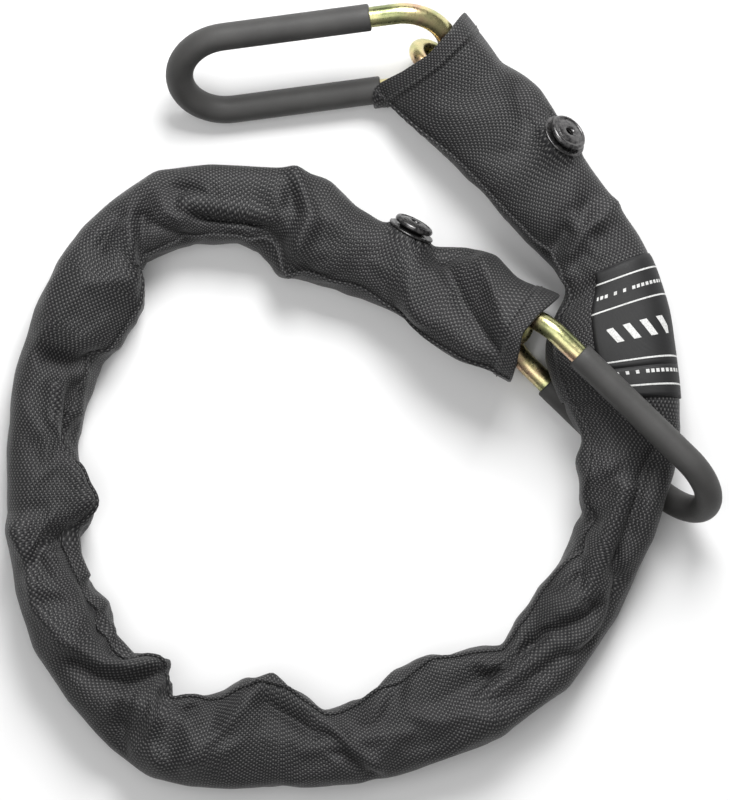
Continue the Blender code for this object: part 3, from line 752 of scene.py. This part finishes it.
def hinge_points():
    """The 25 hinge points along the chain, the first and the last moved out to the end links' tips."""
    names = ["loop_a_swing"] + [f"tail_bend_{k:02d}" for k in range(1, 6)] + ["noose_squeeze"]
    names += [f"noose_bend_{k:02d}" for k in range(8, 25)] + ["loop_b_swing"]
    points = np.array([JOINTS[name]["pos_m"] for name in names]) / MM
    for end, beside, tip in zip((0, -1), (1, -2), LINK_TIPS):
        pull = points[end] - points[beside]
        points[end] += tip * pull / np.linalg.norm(pull)
    return points


def oblong_axes(name, toward):
    """An oblong bar's middle, its long direction away from a point, its short direction, its half sizes."""
    points = node_points(name)
    middle = 0.5 * (points.max(axis=0) + points.min(axis=0))
    _, _, axes = np.linalg.svd(points - points.mean(axis=0), full_matrices=False)
    along, across = axes[0], axes[1]
    middle = middle + sum(
        0.5 * (((points - middle) @ axis).max() + ((points - middle) @ axis).min()) * axis for axis in axes)
    if (middle - toward) @ along < 0:
        along = -along
    half_long = ((points - middle) @ along).max()
    half_wide = ((points - middle) @ across).max()
    return middle, along, across, half_long, half_wide


def oblong_line(middle, along, across, straight, radius, steps, parts=1):
    """The centre line of an oblong bar, its bends in steps and its sides in parts, and the way out there."""
    points, outs = [], []
    for sign in (1.0, -1.0):
        centre = middle + sign * 0.5 * straight * along
        for k in range(steps + 1):
            turn = math.pi * (k / steps - 0.5)
            out = sign * (math.cos(turn) * along + math.sin(turn) * across)
            points.append(centre + radius * out)
            outs.append(out)
        for k in range(1, parts):
            points.append(centre + radius * sign * across - sign * along * straight * k / parts)
            outs.append(sign * across)
    return np.array(points), np.array(outs)


# ---------------------------------------------------------------- settling the sleeve
def chain_ovals(route, stops, hinges):
    """For each link, the rings it passes, and its middle, wide direction and thin direction in each."""
    _, left, up = route.frame(stops)
    places = np.array([route.nearest(h) for h in hinges])
    order = np.argsort(places)
    centre = np.stack([np.interp(stops, places[order], hinges[order][:, k]) for k in range(3)], axis=-1)
    ovals = []
    for link in range(1, LINKS + 1):
        flat = link % 2 == 0
        reach = FLAT_REACH if flat else UPRIGHT_REACH
        index = np.nonzero((stops > places[link - 1] - reach) & (stops < places[link] + reach))[0]
        lean = math.radians(LINK_ROLL.get(link, 0.0))
        aside = left[index] * math.cos(lean) + up[index] * math.sin(lean)
        above = up[index] * math.cos(lean) - left[index] * math.sin(lean)
        ovals.append((index, centre[index], aside, above) if flat else (index, centre[index], above, aside))
    return ovals


def loop_bars(grid, hinges):
    """For each end loop, its closed centre line, the grid points near it, and its clearance along it."""
    bars = []
    for name, hinge in (("loop_a", hinges[1]), ("loop_b", hinges[-2])):
        middle, along, across, half_long, half_wide = oblong_axes(name, hinge)
        straight = 2 * (half_long - half_wide)
        line, _ = oblong_line(middle, along, across, straight, half_wide - 0.5 * LOOP_BAR, 10)
        closed = np.vstack([line, line[:1]])
        low, high = closed.min(axis=0) - LOOP_NEAR, closed.max(axis=0) + LOOP_NEAR
        near = ((grid > low) & (grid < high)).all(axis=-1)
        rubber = ((closed[:-1] + closed[1:]) / 2 - middle) @ along > half_long - RUBBER_REACH
        bars.append((closed, near, np.where(rubber, RUBBER_OUTER, 0.5 * LOOP_BAR) + LOOP_ROOM))
    return bars


def stud_pins():
    """Each stud's axis, and the point on it where its cloth lies."""
    pins = []
    for name in ("stud_a", "stud_b"):
        axis = np.array(JOINTS[f"{name}_cap_pull"]["axis"], float)
        axis /= np.linalg.norm(axis)
        points = node_points(f"{name}_flange")
        spot = points.mean(axis=0)
        pins.append((axis, spot + axis * (((points - spot) @ axis).min() - STUD_DROP)))
    return pins


def collide(p, ovals, bars, pins):
    """Push the cloth's points out of the chain, the loops, the studs and the floor."""
    for index, centre, wide, thin in ovals:
        q = p[index] - centre[:, None, :]
        a, b = project(q, wide), project(q, thin)
        over = np.clip(a, -LINK_HALF, LINK_HALF)
        gap = np.hypot(a - over, b)
        push = np.maximum(LINK_ROOM - gap, 0.0) / np.maximum(gap, 1e-6)
        p[index] += (wide[:, None, :] * ((a - over) * push)[..., None]
                     + thin[:, None, :] * (b * push)[..., None])
    for closed, near, clearances in bars:
        q = p[near]
        for start, end, clear in zip(closed[:-1], closed[1:], clearances):
            gap, spot = segment_gap(q, start, end)
            inside = gap < clear
            if inside.any():
                away = (q[inside] - spot[inside]) / np.maximum(gap[inside], 1e-6)[:, None]
                q[inside] = spot[inside] + away * clear
        p[near] = q
    for axis, spot in pins:
        q = p - spot
        height = q @ axis
        far = np.linalg.norm(q - height[..., None] * axis, axis=-1)
        under = (far < STUD_FLAT) & (np.abs(height) < STUD_FLAT)
        beside = (far >= STUD_FLAT) & (far < STUD_LOW) & (height > 0.0) & (height < STUD_FLAT)
        held = under | beside
        p[held] -= height[held][:, None] * axis
    np.maximum(p[..., 2], FLOOR_GAP, out=p[..., 2])


def label_from(route):
    """Where the label starts, as a distance along the route."""
    return route.nearest(hinge_points()[3]) + LABEL_START


def press(route, stops, grid, label_rows):
    """The rings with creases and crumples pressed in, and how firmly each point is held to that shape."""
    normals = surface_normals(grid)
    side = across_ring(route, stops, grid)
    mouth = 14.0
    ends = np.clip(1.0 - np.minimum(stops, stops[-1] - stops) / mouth, 0.0, 1.0)[:, None]
    label_end = label_from(route) + LABEL_LENGTH
    # The cloth crumples most on the inner side and the top, and little in the tail, the mouths and the label
    weight = np.interp(side, [-1.0, -0.8, -0.2, 0.4, 0.8, 1.0], [0.5, 0.9, 1.0, 0.8, 0.25, 0.15])
    weight = weight * (1.0 - 0.9 * ends)
    weight *= np.interp(stops, [0.0, label_end, label_end + 20.0], [0.35, 0.35, 1.0])[:, None]
    weight[label_rows] *= 0.15
    height = np.clip(CREASE_SHARE * creases(grid, normals) + crumple(stops) * weight, VALLEY, RIDGE)
    height[1:-1] = 0.25 * height[:-2] + 0.5 * height[1:-1] + 0.25 * height[2:]
    height = 0.25 * np.roll(height, 1, axis=1) + 0.5 * height + 0.25 * np.roll(height, -1, axis=1)
    return grid + normals * height[..., None], np.where(side > 0.45, 0.10, 0.05) + 0.3 * ends


def settle(route):
    """The sleeve's cloth, settled over the chain, the loops and the floor."""
    stops, grid, girth = base_shape(route)
    grid = flare(route, stops, grid)
    hinges = hinge_points()
    start = label_from(route)
    label_rows = (stops > start - 1.0) & (stops < start + LABEL_LENGTH + 1.0)
    pressed, hold = press(route, stops, grid, label_rows)
    cloth = Cloth(pressed)
    pins = stud_pins()
    solid = (chain_ovals(route, stops, hinges), loop_bars(grid, hinges), pins)
    for _ in range(ROUNDS):
        cloth.advance(hold)
        collide(cloth.p, *solid)
    # Kinks from one ring to the next are eased out, and the folds stay
    for share in (0.5, -0.53):
        cloth.p[1:-1] += share * (0.5 * (cloth.p[:-2] + cloth.p[2:]) - cloth.p[1:-1])
    collide(cloth.p, *solid)
    return stops, cloth.p, girth, pins, label_patch(route, stops, cloth.p, label_rows)


def label_patch(route, stops, grid, label_rows):
    """Rows and columns of the cloth under the label, which it stretches smooth."""
    _, left, up = route.frame(stops)
    offset = grid - route.row(stops)[:, None, :3]
    lateral = project(offset, left)[label_rows].mean(axis=0)
    height = project(offset, up)[label_rows].mean(axis=0)
    # The label goes from 10.5 mm inside the middle, over the top, to 8 mm down the outer side
    high, low = 0, 0
    while lateral[high] > -10.5:
        high += 1
    while height[low] > -8.0:
        low -= 1
    start = label_from(route)
    row = np.nonzero((stops >= start) & (stops <= start + LABEL_LENGTH))[0]
    columns = np.arange(low, high + 1) % AROUND
    inner = columns[1:-1]
    for _ in range(14):
        mean = 0.25 * (grid[row - 1][:, inner] + grid[row + 1][:, inner]
                       + grid[row][:, columns[:-2]] + grid[row][:, columns[2:]])
        grid[np.ix_(row, inner)] = 0.4 * grid[np.ix_(row, inner)] + 0.6 * mean
    return row, columns


# ---------------------------------------------------------------- meshes
def add_mesh(name, vertices, faces, look, uvs=None, normals=None):
    """A smooth-shaded mesh object from millimetre vertices."""
    mesh = bpy.data.meshes.new(name)
    mesh.from_pydata((np.asarray(vertices) * MM).tolist(), [], [list(map(int, f)) for f in faces])
    if uvs is not None:
        layer = mesh.uv_layers.new(name="UVMap")
        layer.data.foreach_set("uv", np.asarray(uvs, np.float32).ravel())
    mesh.polygons.foreach_set("use_smooth", [True] * len(mesh.polygons))
    mesh.materials.append(look)
    mesh.update()
    if normals is not None:
        mesh.normals_split_custom_set_from_vertices(np.asarray(normals).tolist())
    made = bpy.data.objects.new(name, mesh)
    bpy.context.scene.collection.objects.link(made)
    return made


def unit_rows(vectors):
    """The vectors at unit length."""
    return vectors / np.linalg.norm(vectors, axis=-1, keepdims=True)


def circle(sides):
    """Cosines and sines of equal turns, to spread over rings of points."""
    turn = 2 * math.pi * np.arange(sides) / sides
    return np.cos(turn)[None, :, None], np.sin(turn)[None, :, None]


def ring_faces(rings, sides, base=0, closed=True, flip=False):
    """Quads from each ring of vertices to the next, and back to the first if closed, or else two end caps."""
    faces = []
    for r in range(rings if closed else rings - 1):
        here, there = base + r * sides, base + (r + 1) % rings * sides
        for k in range(sides):
            m = (k + 1) % sides
            if flip:
                faces.append((here + k, there + k, there + m, here + m))
            else:
                faces.append((here + k, here + m, there + m, there + k))
    if not closed:
        faces.append(tuple(base + k for k in range(sides))[::-1])
        faces.append(tuple(base + (rings - 1) * sides + k for k in range(sides)))
    return faces


def shell_piece(name, outer, normals, stops, girth, look):
    """Rings of the sleeve as a thin closed shell, with the seam's cord along it."""
    inner = outer - normals * CLOTH_WALL
    inner[..., 2] = np.maximum(inner[..., 2], LINING_GAP)
    rows, count = outer.shape[:2]
    shift = rows * count
    faces, uvs = [], []
    for r in range(rows - 1):
        v0, v1 = stops[r] * MM, stops[r + 1] * MM
        step = girth[r] / count * MM
        for k in range(count):
            a, b = r * count + k, r * count + (k + 1) % count
            u0 = ((k - SEAM_COLUMN) % count) * step
            u1 = u0 + step
            faces.append((a, b, b + count, a + count))
            uvs += [(u0, v0), (u1, v0), (u1, v1), (u0, v1)]
            faces.append((shift + a, shift + a + count, shift + b + count, shift + b))
            uvs += [(u0, v0), (u0, v1), (u1, v1), (u1, v0)]
    for r, way in ((0, 1), (rows - 1, -1)):
        for k in range(count):
            a, b = r * count + k, r * count + (k + 1) % count
            faces.append((a, shift + a, shift + b, b)[::way])
            uvs += [(0.0, 0.0)] * 4
    # Cord of the long seam: a flat-sided tube that stands on one column of the cloth
    sides, cord_step = 8, 0.0006
    out = normals[:, SEAM_COLUMN]
    spine = outer[:, SEAM_COLUMN] + 0.35 * out
    aside = np.cross(unit_rows(np.gradient(spine, axis=0)), out)
    c, s = circle(sides)
    ways = c * out[:, None, :] * 0.85 + s * aside[:, None, :] * 0.7
    faces += ring_faces(rows, sides, 2 * shift, closed=False)
    for v0, v1 in zip(stops[:-1] * MM, stops[1:] * MM):
        for k in range(sides):
            u0, u1 = k * cord_step, (k + 1) * cord_step
            uvs += [(u0, v0), (u1, v0), (u1, v1), (u0, v1)]
    uvs += [(0.0, 0.0)] * (2 * sides)
    flat = [part.reshape(-1, 3) for part in (outer, inner, spine[:, None, :] + ways)]
    outward = [part.reshape(-1, 3) for part in (normals, -normals, unit_rows(ways))]
    return add_mesh(name, np.concatenate(flat), faces, look, uvs, np.concatenate(outward))


def hem_band(name, rows, normals, look):
    """The folded hem round a mouth: rows of the sleeve from the mouth inwards, wrapped by one closed band."""
    rim, front, back, lowest = 0.7, 0.45, 1.35, 0.3
    edge = rows[0] + unit_rows(rows[0] - rows[1]) * rim
    loops = [rows[-1] - 0.05 * normals[-1], rows[-1] + 0.3 * normals[-1]]
    loops += [rows[k] + front * normals[k] for k in range(len(rows) - 2, -1, -1)]
    loops += [edge + 0.1 * normals[0], edge - 0.8 * normals[0]]
    loops += [rows[k] - back * normals[k] for k in range(len(rows) - 1)]
    loops += [rows[-1] - 1.15 * normals[-1], rows[-1] - 0.75 * normals[-1]]
    loops = np.array(loops)
    loops[..., 2] = np.maximum(loops[..., 2], lowest)
    count, around = loops.shape[:2]
    girth = np.linalg.norm(np.roll(rows[0], -1, axis=0) - rows[0], axis=-1).sum() * MM
    uvs = []
    v1 = 0.0
    for r in range(count):
        v0, v1 = v1, v1 + np.linalg.norm(loops[(r + 1) % count] - loops[r], axis=-1).mean() * MM
        for k in range(around):
            u0, u1 = girth * k / around, girth * (k + 1) / around
            uvs += [(u0, v0), (u0, v1), (u1, v1), (u1, v0)]
    faces = ring_faces(count, around, flip=True)
    return add_mesh(name, loops.reshape(-1, 3), faces, look, uvs)


def stitches(name, line, normals, look):
    """A closed row of separate thread stitches along a line on the cloth."""
    pitch, length, sides = 3.0, 1.9, 6
    # Share of a stitch's length, and its thread's radius there
    rings = ((0.0, 0.05), (0.12, 0.20), (0.5, 0.26), (0.88, 0.20), (1.0, 0.05))
    points, outs = np.vstack([line, line[:1]]), np.vstack([normals, normals[:1]])
    points[:, 2] = np.maximum(points[:, 2], 0.5)
    along = distances(points)

    def at(place, values):
        return np.array([np.interp(place, along, values[:, k]) for k in range(3)])

    vertices, faces = [], []
    for start in np.arange(0.5 * pitch, along[-1] - length, pitch):
        faces += ring_faces(len(rings), sides, len(vertices), closed=False)
        for share, radius in rings:
            place = start + share * length
            spot = at(place, points)
            out = at(place, outs)
            aside = unit_rows(np.cross(at(place + 0.4, points) - spot, out))
            out = unit_rows(out)
            spot = spot + out * (0.12 - 0.3 * (2 * share - 1) ** 2)
            for k in range(sides):
                turn = 2 * math.pi * k / sides
                vertices.append(spot + radius * (math.cos(turn) * out + math.sin(turn) * aside))
    return add_mesh(name, vertices, faces, look)


def label_piece(name, patch, out, v, starts, look):
    """Part of the label: a thin closed slab on a patch of the cloth, lower at its sewn edges."""
    middle_lift, edge_lift, back_lift = 0.75, 0.45, 0.15
    lift = np.full(patch.shape[:2], middle_lift)
    lift[:, 0] = lift[:, -1] = edge_lift
    if starts:
        lift[0] = edge_lift
    top = patch + out * lift[..., None]
    bottom = patch + out * back_lift
    widths = np.linalg.norm(np.diff(patch, axis=1), axis=-1).mean(axis=0)
    across = np.concatenate([[0.0], np.cumsum(widths)]) * MM
    n_rows, n_columns = patch.shape[:2]
    shift = n_rows * n_columns
    faces, uvs = [], []
    for r in range(n_rows - 1):
        for k in range(n_columns - 1):
            a = r * n_columns + k
            quad = (a, a + 1, a + n_columns + 1, a + n_columns)
            corners = [(across[k + i], v[r + j]) for i, j in ((0, 0), (1, 0), (1, 1), (0, 1))]
            faces += [quad, tuple(shift + q for q in quad[::-1])]
            uvs += corners + corners[::-1]
    edge = [(0, k) for k in range(n_columns)] + [(r, n_columns - 1) for r in range(1, n_rows)]
    edge += [(n_rows - 1, k) for k in range(n_columns - 2, -1, -1)]
    edge += [(r, 0) for r in range(n_rows - 2, 0, -1)]
    for (r1, k1), (r2, k2) in zip(edge, edge[1:] + edge[:1]):
        a, b = r1 * n_columns + k1, r2 * n_columns + k2
        faces.append((b, a, shift + a, shift + b))
        uvs += [(across[k2], v[r2]), (across[k1], v[r1]), (across[k1], v[r1]), (across[k2], v[r2])]
    vertices = np.concatenate([top.reshape(-1, 3), bottom.reshape(-1, 3)])
    size = (float(across[-1]), float(v[-1] - v[0]))
    return add_mesh(name, vertices, faces, look, uvs), size


def turned(name, profile, base, axis, look, sides=72):
    """A solid turned about an axis from a closed profile of (radius, height) pairs."""
    side = unit_rows(np.cross(axis, [0.0, 0.0, 1.0]))
    c, s = circle(sides)
    out = c[0] * side + s[0] * np.cross(axis, side)
    rings = base + out[:, None, :] * profile[None, :, 0, None] + axis * profile[None, :, 1, None]
    return add_mesh(name, rings.reshape(-1, 3), ring_faces(sides, len(profile), flip=True), look)


def rounded(profile):
    """A closed profile with its corners softened."""
    points = np.array(profile, float)
    for _ in range(2):
        after = np.roll(points, -1, axis=0)
        points = np.stack([0.78 * points + 0.22 * after, 0.22 * points + 0.78 * after], axis=1).reshape(-1, 2)
    return points


def make_studs(pins, look):
    """The press studs: a lipped flange on the cloth and a dished cap with a centre hole."""
    for name, carrier, (axis, spot) in zip(("stud_a", "stud_b"), ("link_03", "link_23"), pins):
        base = spot + STUD_DROP * axis
        plate = turned(f"{name}_plate", rounded(STUD_FLANGE), base, axis, look)
        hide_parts(f"{name}_flange")
        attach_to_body(plate, carrier)
        button = turned(f"{name}_button", rounded(STUD_CAP), base, axis, look)
        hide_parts(f"{name}_cap")
        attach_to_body(button, f"{name}_cap")


def sweep(name, centres, outs, radii, sides, look, ahead=None):
    """A closed round bar along a line: at each point an outward direction, a radius and a way ahead."""
    if ahead is None:
        ahead = np.roll(centres, -1, axis=0) - np.roll(centres, 1, axis=0)
    other = np.cross(unit_rows(ahead), outs)
    c, s = circle(sides)
    rings = centres[:, None, :] + radii[:, None, None] * (c * outs[:, None, :] + s * other[:, None, :])
    return add_mesh(name, rings.reshape(-1, 3), ring_faces(len(centres), sides), look)


def make_loop(name, hinge, steel, rubber):
    """An end loop: its steel bar and the rubber tube on its far half."""
    bend_steps, leg_steps, rim_inset = 28, 14, 1.5
    middle, along, across, half_long, half_wide = oblong_axes(name, hinge)
    radius = half_wide - 0.5 * LOOP_BAR
    straight = 2 * (half_long - half_wide)
    line, outs = oblong_line(middle, along, across, straight, radius, bend_steps, 10)
    radii = np.full(len(line), 0.5 * LOOP_BAR)
    bar = sweep(f"{name}_bar", line, outs, radii, 20, steel)
    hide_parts(name)
    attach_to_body(bar, name)

    # The tube's path: up one leg, round the far bend and down the other leg
    far = middle + 0.5 * straight * along
    leg = (far - middle) @ along - ((node_points(f"{name}_rubber") - middle) @ along).min()
    bend = slice(0, bend_steps + 1)
    rise = [far - along * leg * (1 - k / leg_steps) - across * radius for k in range(leg_steps)]
    fall = [far - along * leg * (k + 1) / leg_steps + across * radius for k in range(leg_steps)]
    path = np.concatenate([rise, line[bend], fall])
    side = np.concatenate([[-across] * leg_steps, outs[bend], [across] * leg_steps])
    ahead = np.gradient(path, axis=0)
    ahead[0], ahead[-1] = along, -along
    # Rings of the tube, up its outside and back inside: a point of the path, a distance on from it, a radius
    last = len(path) - 1
    between = range(1, last)
    rings = [(0, d, r) for d, r in RUBBER_RIM] + [(i, 0.0, RUBBER_OUTER) for i in between]
    rings += [(last, d, r) for d, r in RUBBER_RIM[::-1]] + [(last, rim_inset, RUBBER_INNER)]
    rings += [(i, 0.0, RUBBER_INNER) for i in between[::-1]] + [(0, rim_inset, RUBBER_INNER)]
    index = [i for i, _, _ in rings]
    centres = path[index] + along * np.array([d for _, d, _ in rings])[:, None]
    radii = np.array([r for _, _, r in rings])
    tube = sweep(f"{name}_sleeve", centres, side[index], radii, 24, rubber, ahead[index])
    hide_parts(f"{name}_rubber")
    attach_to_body(tube, name)


def make_links(steel):
    """The chain: plated steel on each link, and finer bars with a weld bead for the links in the mouths."""
    bend_steps, side_parts = 16, 20
    for k in range(1, LINKS + 1):
        name = f"link_{k:02d}"
        node = frame["nodes"][name]
        node.data.materials.clear()
        node.data.materials.append(steel)
        if 2 < k < LINKS - 1:
            continue
        middle, along, across, half_long, half_wide = oblong_axes(name, np.zeros(3))
        straight = 2 * (half_long - half_wide)
        radius = half_wide - 0.5 * LINK_BAR
        line, outs = oblong_line(middle, along, across, straight, radius, bend_steps, side_parts)
        radii = np.full(len(line), 0.5 * LINK_BAR)
        from_weld = (np.arange(1, side_parts) / side_parts - 0.5) * straight
        radii[bend_steps + 1:bend_steps + side_parts] += WELD_BEAD * np.exp(-(from_weld / WELD_WIDTH) ** 2)
        bar = sweep(f"chain_{k:02d}", line, outs, radii, 18, steel)
        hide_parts(name)
        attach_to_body(bar, name)


# ---------------------------------------------------------------- build
look_down()
pale_sky()
pale_floor()
area_light("key", (0.15, 0.75, 0.75), 0.5, 14.0)
area_light("top", (-0.3, -0.1, 1.2), 0.9, 5.0)
bpy.context.scene.view_settings.view_transform = "Standard"

weave = weave_material()
zinc = zinc_material()
rubber_look = rubber_material()
label_look = label_material()
thread = thread_material()
stud_look = stud_material()

route = Route(SLEEVE_ROUTE)
stops, grid, girth, pins, (label_rows, label_columns) = settle(route)
normals = surface_normals(grid)
hinges = hinge_points()

# Sleeve pieces between the middles of the links
middles = [route.nearest(0.5 * (a + b)) for a, b in zip(hinges[:-1], hinges[1:])]
cuts = [0] + [int(np.argmin(np.abs(stops - m))) for m in middles] + [len(stops) - 1]


def attach(piece, k):
    """Attach a piece to link_24 when k is the last piece between cuts k and k + 1, or else bake its place into
    its mesh.
    """
    if k == 0:
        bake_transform(piece)
    elif k == len(cuts) - 2:
        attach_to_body(piece, "link_24")
    else:
        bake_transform(piece)


# The cloth is a tenth longer than the route, which is what its folds take up
for k, (first, last) in enumerate(zip(cuts, cuts[1:])):
    part = slice(first, last + 1)
    piece = shell_piece(f"cloth_{k + 1:02d}", grid[part], normals[part], stops[part], girth[part], weave)
    attach(piece, k)
    if k % 2 == 0:
        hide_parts(f"sleeve_{k // 2 + 1:02d}")

# Label, cut where the sleeve pieces meet, with no piece shorter than 10 mm
ends = [label_rows[0]] + [c for c in cuts if label_rows[0] + 6 <= c <= label_rows[-1] - 6] + [label_rows[-1]]
for i, (first, last) in enumerate(zip(ends, ends[1:])):
    spots = np.ix_(np.arange(first, last + 1), label_columns)
    v = (stops[first:last + 1] - stops[label_rows[0]]) * MM
    patch, size = label_piece(f"label_{i + 1}", grid[spots], normals[spots], v, i == 0, label_look)
    k = max(j for j, c in enumerate(cuts) if c <= (first + last) // 2)
    attach(patch, k)
    if i == 0:
        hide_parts("label")

for name, k, index in (("hem_a", 0, np.arange(0, 5)), ("hem_b", len(cuts) - 2, np.arange(-1, -6, -1))):
    band = hem_band(f"{name}_fold", grid[index], normals[index], weave)
    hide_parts(name)
    attach(band, k)
    size = float(girth[index[0]] * MM)
    row = stitches(f"{name}_stitches", grid[index[3]] + 0.5 * normals[index[3]], normals[index[3]], thread)
    attach(row, k)

make_links(zinc)
make_loop("loop_a", hinges[1], zinc, rubber_look)
make_loop("loop_b", hinges[-2], zinc, rubber_look)
make_studs(pins, stud_look)

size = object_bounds()
